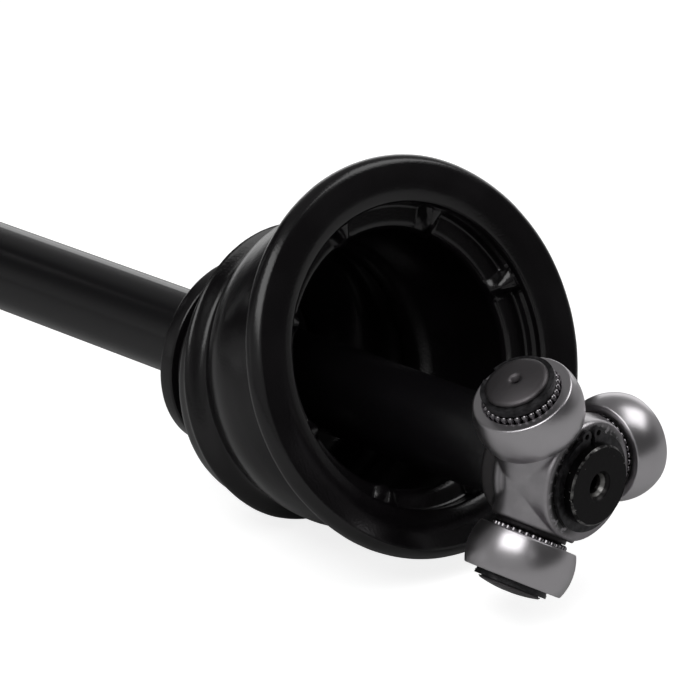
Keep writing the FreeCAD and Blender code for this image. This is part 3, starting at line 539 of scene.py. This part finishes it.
def rounded(points, steps=4):
    """An outline of (along, radius, fillet) with its corners rounded."""
    # A side between two corners is shared by their fillets; an end side has one fillet only
    shared_side = 0.49
    end_side = 0.98
    spots = [Vector((p[0], p[1])) for p in points]
    line = []
    for i, spot in enumerate(spots):
        fillet = points[i][2]
        if fillet and 0 < i < len(spots) - 1:
            most_before = end_side if i == 1 else shared_side
            most_after = end_side if i == len(spots) - 2 else shared_side
            line += corner(spots[i - 1], spot, spots[i + 1], fillet, steps, most_before, most_after)
        else:
            line.append(spot)
    return line


def arc_points(first, middle, last, steps):
    """Points of the arc through three points, without the last."""
    a, b, c = Vector(first), Vector(middle), Vector(last)
    d = 2 * (a.x * (b.y - c.y) + b.x * (c.y - a.y) + c.x * (a.y - b.y))
    x = (a.dot(a) * (b.y - c.y) + b.dot(b) * (c.y - a.y) + c.dot(c) * (a.y - b.y)) / d
    y = (a.dot(a) * (c.x - b.x) + b.dot(b) * (a.x - c.x) + c.dot(c) * (b.x - a.x)) / d
    centre = Vector((x, y))
    start = math.atan2(a.y - y, a.x - x)
    sweep = (math.atan2(c.y - y, c.x - x) - start + math.pi) % (2 * math.pi) - math.pi
    radius = (a - centre).length
    angles = [start + sweep * i / steps for i in range(steps)]
    return [centre + Vector((math.cos(t), math.sin(t))) * radius for t in angles]


def resample(points, count):
    """The same line with evenly spaced points, both ends kept."""
    spans = [(b - a).length for a, b in zip(points, points[1:])]
    total = sum(spans)
    line = []
    for i in range(count):
        target = total * i / (count - 1)
        k = 0
        while k < len(spans) - 1 and target > spans[k]:
            target -= spans[k]
            k += 1
        line.append(points[k].lerp(points[k + 1], min(1, target / spans[k])))
    return line


def smooth_value(table, at):
    """A value from a short table on a smooth curve through its points."""
    last = len(table) - 1
    k = max(i for i in range(last) if table[i][0] <= at or i == 0)
    p0, p1, p2, p3 = (table[max(0, min(last, k + j))] for j in (-1, 0, 1, 2))
    span = p2[0] - p1[0]
    t = (at - p1[0]) / span
    m1 = (p2[1] - p0[1]) / (p2[0] - p0[0]) * span
    m2 = (p3[1] - p1[1]) / (p3[0] - p1[0]) * span
    return ((2 * t ** 3 - 3 * t * t + 1) * p1[1] + (t ** 3 - 2 * t * t + t) * m1
            + (3 * t * t - 2 * t ** 3) * p2[1] + (t ** 3 - t * t) * m2)


def ring_frame(normal):
    """Two directions across a ring: the first level, the second pointing down."""
    level = normal.cross(UP).normalized()
    return level, normal.cross(level)


def make_mesh(name, verts, faces, material):
    mesh = bpy.data.meshes.new(name)
    mesh.from_pydata(verts, [], faces)
    mesh.validate()
    mesh.polygons.foreach_set("use_smooth", [True] * len(mesh.polygons))
    mesh.materials.append(material)
    piece = bpy.data.objects.new(name, mesh)
    bpy.context.scene.collection.objects.link(piece)
    return piece


def skin_faces(rings, around):
    """Quads of a closed skin over rings of points, the last ring joined to the first."""
    faces = []
    for i in range(rings):
        here, there = i * around, (i + 1) % rings * around
        for j in range(around):
            k = (j + 1) % around
            faces.append((here + j, here + k, there + k, there + j))
    return faces


def spine_point(share):
    """Middle line of the bent bellows: place and direction at a share of the way."""
    start = Vector((collar_front_x, 0, 0))
    end = mouth_centre - mouth_normal * rim_root[0]
    reach = (end - start).length
    a, d = start, end
    b = start + X_AXIS * (reach * spine_pull_back)
    c = end - mouth_normal * (reach * spine_pull_front)
    s = share
    spot = a * (1 - s) ** 3 + b * (3 * s * (1 - s) ** 2) + c * (3 * s * s * (1 - s)) + d * s ** 3
    heading = (b - a) * (1 - s) ** 2 + (c - b) * (2 * s * (1 - s)) + (d - c) * s ** 2
    heading = heading.normalized() + fold_lean * (4 * s * (1 - s))
    hang = fold_sag * (s / 0.4) ** 2 * ((1 - s) / 0.6) ** 3
    return spot - UP * hang, heading.normalized()


def along_x(points):
    return [(Vector((p.x, 0, 0)), X_AXIS, p.y, p.y) for p in points]


def at_mouth(points, rib_points=None):
    ribs = rib_points or points
    return [(mouth_centre - mouth_normal * p.x, mouth_normal, p.y, q.y)
            for p, q in zip(points, ribs)]


def boot_stations():
    """Rings of the boot's skin from the collar outside to the mouth and back inside."""
    collar_end = collar_back_x + collar_width
    stations = along_x(rounded([
        (collar_back_x, collar_lip_r, 0),
        (collar_back_x, collar_r, collar_back_fillet),
        (collar_end, collar_r, collar_front_fillet),
        (collar_end + collar_root_slope, collar_groove_r, collar_root_fillet),
        (collar_front_x, collar_groove_r, 0),
    ]))[:-1]
    outer_count = 110
    for i in range(outer_count):
        share = i / outer_count
        spot, heading = spine_point(share)
        radius = smooth_value(bellows_profile, share) * MM
        stations.append((spot, heading, radius, radius))
    flange = [Vector(rim_root)]
    flange += arc_points(rim_back, rim_back_side, rim_widest, 10)
    flange += arc_points(rim_widest, rim_shoulder, rim_edge, 12)
    flange += arc_points(rim_edge, rim_front, rim_crown, 4)
    flange += arc_points(rim_crown, rim_swell, (0, mouth_lip_r), 12)[:8]
    lip_start = flange.pop()
    stations += at_mouth(flange)
    stations += at_mouth(rounded([
        (lip_start.x, lip_start.y, 0),
        (0, mouth_lip_r, lip_fillet),
        (lip_depth - lip_back_fillet, mouth_lip_r + lip_taper, 0),
    ], 10))
    return stations


def groove_pairs():
    """The seat groove from the lip to the ridge, plain and where a rib bridges it."""
    count = 60
    start = (lip_depth - 0.9 * lip_back_fillet, mouth_lip_r + lip_taper, 0)
    end = (ridge_depth + ridge_side, ridge_r, 0)
    groove = rounded([
        start,
        (lip_depth, mouth_lip_r, lip_back_fillet),
        (lip_depth + lip_undercut, seat_groove_r, seat_root_fillet),
        (seat_step_depth - seat_step_lead, seat_groove_r, seat_root_fillet),
        (seat_step_depth + seat_step_run, seat_step_r, seat_step_run),
        (ridge_depth - ridge_front, seat_step_r, seat_end_fillet),
        (ridge_depth - ridge_lead, ridge_r, ridge_fillet),
        end,
    ], 8)
    rib = rounded([
        start,
        (lip_depth + lip_undercut, mouth_lip_r - rib_lip_drop, rib_lip_fillet),
        (seat_step_depth + rib_lip_drop, ridge_r + rib_rise, rib_seat_fillet),
        (ridge_depth - rib_ridge_lead, ridge_r - rib_sink, rib_ridge_fillet),
        end,
    ], 8)
    return resample(groove, count), resample(rib, count)


def inner_stations():
    """Rings from the ridge back along the inside of the bellows to the bearing's pocket."""
    ridge_end = ridge_depth + ridge_thick
    stations = at_mouth(rounded([
        (ridge_depth + ridge_side + ridge_back_step, ridge_r, 0),
        (ridge_end, ridge_r, ridge_back_fillet),
        (ridge_end + ridge_back_slope, ridge_r + ridge_back_rise, 0),
    ]))
    inner_count = 90
    start = 0.955
    for i in range(inner_count):
        share = start * (1 - i / inner_count)
        spot, heading = spine_point(share)
        inside = smooth_value(bellows_profile, share) * MM - boot_wall
        radius = max(inside, pocket_lip_r + inside_clear)
        stations.append((spot, heading, radius, radius))
    stations += along_x(rounded([
        (collar_front_x, pocket_lip_r + pocket_lip_edge, 0),
        (collar_front_x, pocket_lip_r, pocket_lip_fillet),
        (pocket_front_x, pocket_lip_r, 0),
        (pocket_front_x, pocket_r, 0),
        (pocket_back_x, pocket_r, 0),
        (pocket_back_x, collar_lip_r, 0),
        (collar_back_x + collar_back_gap, collar_lip_r, 0),
    ]))
    return stations


def boot_angles():
    """Angles round the boot with how far a rib rises there, closer together over each rib."""
    half = rib_half_width / rib_middle_r
    steps = 9
    plain_steps = 22
    step_angles = [half * math.sin(math.pi / 2 * k / steps) for k in range(-steps, steps + 1)]
    angles = []
    for i in range(rib_count):
        middle = math.radians(rib_first_deg + 360 * i / rib_count)
        gap = 2 * math.pi / rib_count - 2 * half
        angles += [(middle + turn, math.cos(math.pi / 2 * turn / half) ** rib_fullness)
                   for turn in step_angles]
        angles += [(middle + half + gap * k / plain_steps, 0.0) for k in range(1, plain_steps)]
    return angles


def rubber_waver(spot):
    """Small unevenness of the moulding, in metres."""
    return sum(height * noise.noise(spot * waves) for height, waves in (waver_broad, waver_fine))


def inboard_boot(material):
    """Boot with rounded folds, a flange and a ribbed seat groove, as one closed skin."""
    groove, rib = groove_pairs()
    outer = boot_stations()
    seat = [(mouth_centre - mouth_normal * g.x, mouth_normal, g.y, r) for g, r in zip(groove, rib)]
    stations = outer + seat + inner_stations()
    angles = boot_angles()
    verts = []
    for spot, heading, radius, other in stations:
        level, down = ring_frame(heading)
        for angle, share in angles:
            out = level * math.cos(angle) + down * math.sin(angle)
            if isinstance(other, Vector) and share > 0:
                bridged = mouth_centre - mouth_normal * other.x + out * other.y
                point = (spot + out * radius).lerp(bridged, share)
            else:
                point = spot + out * radius
                point += out * rubber_waver(point)
            verts.append(point)
    faces = skin_faces(len(stations), len(angles))
    piece = make_mesh("moulded_inboard_boot", verts, faces, material)
    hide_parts("inboard_boot")
    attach(piece, "boot")
    return piece


def bell_boot_side(share, inset):
    """A point of the outboard bellows, with full rounded crests and narrow roots."""
    wave = 0.5 * (1 + math.cos(2 * math.pi * bell_boot_folds * share))
    drop = (bell_boot_big_r - bell_boot_small_r) * share
    length = bell_boot_end - bell_boot_start
    x = joint_x + bell_boot_start + length * share
    return Vector((x, bell_boot_big_r - drop - bell_boot_depth * wave ** 1.3 - inset))


def outboard_boot(material):
    """Five-fold bellows over the ball joint, revolved straight about the shaft's axis."""
    around = 144
    count = 120
    collar_out = bell_seat_r + bell_boot_wall + soft_gap
    lip_out = bell_lip_r + soft_gap + bell_boot_wall
    tail_x = joint_x + bell_boot_end + bell_boot_neck
    tail_end = tail_x + bell_boot_tail
    tail_in = tube_r + soft_gap
    tail_out = tail_in + bell_boot_wall
    line = rounded([
        (joint_x + clamp_seat_start, bell_seat_r, 0),
        (joint_x + clamp_seat_start, collar_out, 0.6 * MM),
        (joint_x + clamp_seat_end - 2 * MM, collar_out, 0.5 * MM),
        (joint_x + clamp_seat_end - 0.5 * MM, lip_out, 0.5 * MM),
        (joint_x + bell_mouth + 0.7 * MM, lip_out, 1.2 * MM),
        (joint_x + bell_boot_start - 0.3 * MM, bell_boot_root_r, 0),
    ])
    line += [bell_boot_side(i / count, 0) for i in range(count + 1)]
    line += rounded([
        (tail_x - 1.2 * MM, tail_out + 0.2 * MM, 0),
        (tail_x, tail_out, 0.6 * MM),
        (tail_end - 1.8 * MM, tail_out, 0.4 * MM),
        (tail_end - 1.5 * MM, tail_out + bell_boot_bead, 0.3 * MM),
        (tail_end, tail_out + bell_boot_bead, 0.5 * MM),
        (tail_end, tail_in, 0.3 * MM),
        (tail_x, tail_in, 0),
    ])
    line += [bell_boot_side(1 - i / count, bell_boot_wall) for i in range(count + 1)]
    line += rounded([
        (joint_x + bell_mouth + soft_gap, bell_lip_r - 4 * MM, 0),
        (joint_x + bell_mouth + soft_gap, bell_lip_r + soft_gap, 0),
        (joint_x + clamp_seat_end, bell_lip_r + soft_gap, 0),
        (joint_x + clamp_seat_end, bell_seat_r, 0),
    ])
    verts = []
    for point in line:
        for j in range(around):
            angle = 2 * math.pi * j / around
            spot = Vector((point.x, point.y * math.cos(angle), point.y * math.sin(angle)))
            verts.append(spot)
    piece = make_mesh("moulded_outboard_boot", verts, skin_faces(len(line), around), material)
    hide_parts("outboard_boot")
    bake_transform(piece)
    return piece


def trunnion_axes():
    """Directions of the three trunnions, from the joints that the rollers turn on."""
    joints = {joint["name"]: joint for joint in frame["record"]["behaviour"]["joints"]}
    return [Vector(joints["roller_%d_spin" % number]["axis"]).normalized() for number in (1, 2, 3)]


def needle_line():
    """Half section of a needle with full rounded ends: distance along the trunnion, radius."""
    steps = 5
    dome = needle_r * needle_dome
    turns = [math.pi / 2 * i / steps for i in range(steps + 1)]
    ends = [(dome * (1 - math.cos(t)), needle_r * math.sin(t)) for t in turns]
    line = [(needle_bottom + rise, radius) for rise, radius in ends]
    return line + [(needle_top - rise, radius) for rise, radius in reversed(ends)]


def needle_row(number, axis, material):
    """The full row of needles round one trunnion, as separate rounded rollers."""
    around = 14
    line = needle_line()
    level = X_AXIS
    side = axis.cross(level)
    verts = []
    faces = []
    for k in range(needle_count):
        angle = 2 * math.pi * k / needle_count
        middle = (level * math.cos(angle) + side * math.sin(angle)) * needle_pitch_r
        first = len(verts)
        for height, radius in line:
            for j in range(around):
                turn = 2 * math.pi * j / around
                out = level * math.cos(turn) + side * math.sin(turn)
                verts.append(middle + axis * height + out * max(radius, needle_tip_r))
        # The last band would join the two ends through the needle, so it is left off
        sides = skin_faces(len(line), around)[:-around]
        faces += [tuple(first + index for index in face) for face in sides]
        faces.append(tuple(first + j for j in reversed(range(around))))
        faces.append(tuple(len(verts) - around + j for j in range(around)))
    piece = make_mesh("rounded_needles_%d" % number, verts, faces, material)
    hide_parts("needles_%d" % number)
    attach(piece, "needle_row_%d" % number)


def stub_thread(material):
    """Helical ridge on the plain end of the stub, with its ends running out to nothing."""
    steps = 40
    turns = (thread_length - thread_runout) / thread_pitch
    count = int(turns * steps)
    verts = []
    for i in range(count + 1):
        angle = 2 * math.pi * i / steps
        x = thread_end_x + thread_lead + thread_pitch * i / steps
        rise = thread_depth * min(1, i / steps, (count - i) / steps)
        ridge = ((-thread_foot, thread_sink), (-thread_crest, rise), (thread_crest, rise),
                 (thread_foot, thread_sink))
        for shift, height in ridge:
            reach = thread_r + height
            verts.append(Vector((x + shift, reach * math.cos(angle), reach * math.sin(angle))))
    faces = [(4 * i + k, 4 * i + (k + 1) % 4, 4 * i + 4 + (k + 1) % 4, 4 * i + 4 + k)
             for i in range(count) for k in range(4)]
    faces += [(3, 2, 1, 0), tuple(4 * count + k for k in range(4))]
    piece = make_mesh("rolled_stub_thread", verts, faces, material)
    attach(piece, "bell")


def dress_nodes(materials):
    """Give every carried-over node the material of its slot."""
    for part in frame["record"]["subparts"]:
        node = frame["nodes"][part["node"]]
        node.data.materials.clear()
        node.data.materials.append(materials[part["material_slot"]])


def floor_material():
    """Plain white sweep: seen as white, and a light grey to everything that it lights."""
    material, tree, shader = new_material("painted_white_table")
    seen = add(tree, "LightPath", {}, "Is Camera Ray")
    shades = {0: seen, 6: linear("#c4c4c4"), 7: linear("#c8c8c8")}
    set_inputs(tree, shader, {
        "Base Color": add(tree, "Mix", shades, 2, data_type="RGBA"),
        "Roughness": 1.0,
        "Specular IOR Level": 0.0,
        "Emission Color": linear("#ffffff"),
        "Emission Strength": add(tree, "Math", {0: seen, 1: 0.82}, operation="MULTIPLY"),
    })
    return material


def make_floor():
    half = 6.0
    gap = 0.3 * MM
    level = cad_low.z - gap
    corners = [(x * half, y * half, level) for x, y in ((-1, -1), (1, -1), (1, 1), (-1, 1))]
    make_mesh("table", corners, [(0, 1, 2, 3)], floor_material())


def direction(azimuth, elevation):
    """A unit direction at an azimuth from +X towards +Y and an elevation, in degrees."""
    a, e = math.radians(azimuth), math.radians(elevation)
    return Vector((math.cos(e) * math.cos(a), math.cos(e) * math.sin(a), math.sin(e)))


def dark_side(tree, heading, azimuth, elevation, start, end, lowest):
    """A factor that falls from 1 to its lowest as a direction nears a dark part of the room."""
    way = direction(azimuth, elevation)
    facing = add(tree, "VectorMath", {0: heading, 1: way}, "Value", operation="DOT_PRODUCT")
    return add(tree, "MapRange", {
        "Value": facing, "From Min": start, "From Max": end, "To Min": 1.0, "To Max": lowest,
    }, interpolation_type="SMOOTHSTEP")


def make_world():
    """White to the camera; to the object a grey room, dim overhead and darker at two sides."""
    world = bpy.data.worlds.new("studio")
    bpy.context.scene.world = world
    world.use_nodes = True
    tree = world.node_tree
    seen = add(tree, "LightPath", {}, "Is Camera Ray")
    heading = add(tree, "TexCoord", {}, "Generated")
    height = add(tree, "SeparateXYZ", {"Vector": heading}, "Z")
    room = add(tree, "MapRange", {
        "Value": height, "From Min": 0.25, "From Max": 0.8, "To Min": 0.32, "To Max": 0.17})
    # Azimuth and elevation in degrees, the cosines where the dark starts and is full, what is left
    right_side = dark_side(tree, heading, 20, 20, 0.50, 0.90, 0.17)
    left_side = dark_side(tree, heading, -166, 24, 0.88, 0.965, 0.08)
    sides = add(tree, "Math", {0: right_side, 1: left_side}, operation="MULTIPLY")
    level = add(tree, "Math", {0: room, 1: sides}, operation="MULTIPLY")
    set_inputs(tree, tree.nodes["Background"], {
        "Color": linear("#ffffff"),
        "Strength": add(tree, "Mix", {0: seen, 2: level, 3: 1.0}, data_type="FLOAT"),
    })


def softbox(name, azimuth, elevation, distance, width, height, watts):
    """An area lamp aimed at the middle of the boot, at an azimuth from +X towards +Y."""
    target = Vector((-0.06, 0, 0.01))
    out = direction(azimuth, elevation)
    lamp = bpy.data.lights.new(name, "AREA")
    lamp.shape = "RECTANGLE"
    lamp.size = width
    lamp.size_y = height
    lamp.energy = watts
    holder = bpy.data.objects.new(name, lamp)
    holder.location = target + out * distance
    holder.rotation_mode = "QUATERNION"
    holder.rotation_quaternion = out.to_track_quat("Z", "Y")
    bpy.context.scene.collection.objects.link(holder)


def make_lights():
    # Azimuth and elevation in degrees; distance, width and height in metres; watts
    softbox("softbox_front", -75, 54, 1.3, 1.1, 0.8, 8.0)
    softbox("softbox_back", 60, 52, 1.3, 0.9, 0.8, 5.2)
    softbox("wall_behind", 133, 6, 1.6, 2.2, 0.9, 6.0)
    softbox("strip_left", -163, 24, 1.5, 0.05, 0.7, 0.12)
    softbox("strip_right", -20, 29, 1.5, 0.22, 0.40, 0.16)
    softbox("strip_low", -131, 3, 1.5, 0.30, 0.30, 0.07)


def make_camera():
    a, e = math.radians(camera_azimuth), math.radians(camera_elevation)
    right = Vector((math.cos(a), math.sin(a), 0))
    back = Vector((math.sin(a) * math.cos(e), -math.cos(a) * math.cos(e), math.sin(e)))
    above = back.cross(right)
    camera = bpy.data.cameras.new("camera")
    camera.sensor_width = sensor_mm
    camera.lens = focal_pixels * sensor_mm / photo_pixels
    camera.clip_end = 20
    holder = bpy.data.objects.new("camera", camera)
    spot = right * camera_aim_right + above * camera_aim_up + back * camera_distance
    turn = Matrix((right, above, back)).transposed().to_4x4()
    holder.matrix_world = Matrix.Translation(spot) @ turn
    bpy.context.scene.collection.objects.link(holder)
    bpy.context.scene.camera = holder


materials = make_materials()
dress_nodes(materials)
inboard_boot(materials["boot_rubber"])
outboard_boot(materials["bellows_plastic"])
for number, axis in enumerate(trunnion_axes(), 1):
    needle_row(number, axis, materials["bearing_steel"])
stub_thread(materials["forged_bell"])
make_floor()
make_world()
make_lights()
make_camera()
bpy.context.scene.view_settings.view_transform = "Standard"
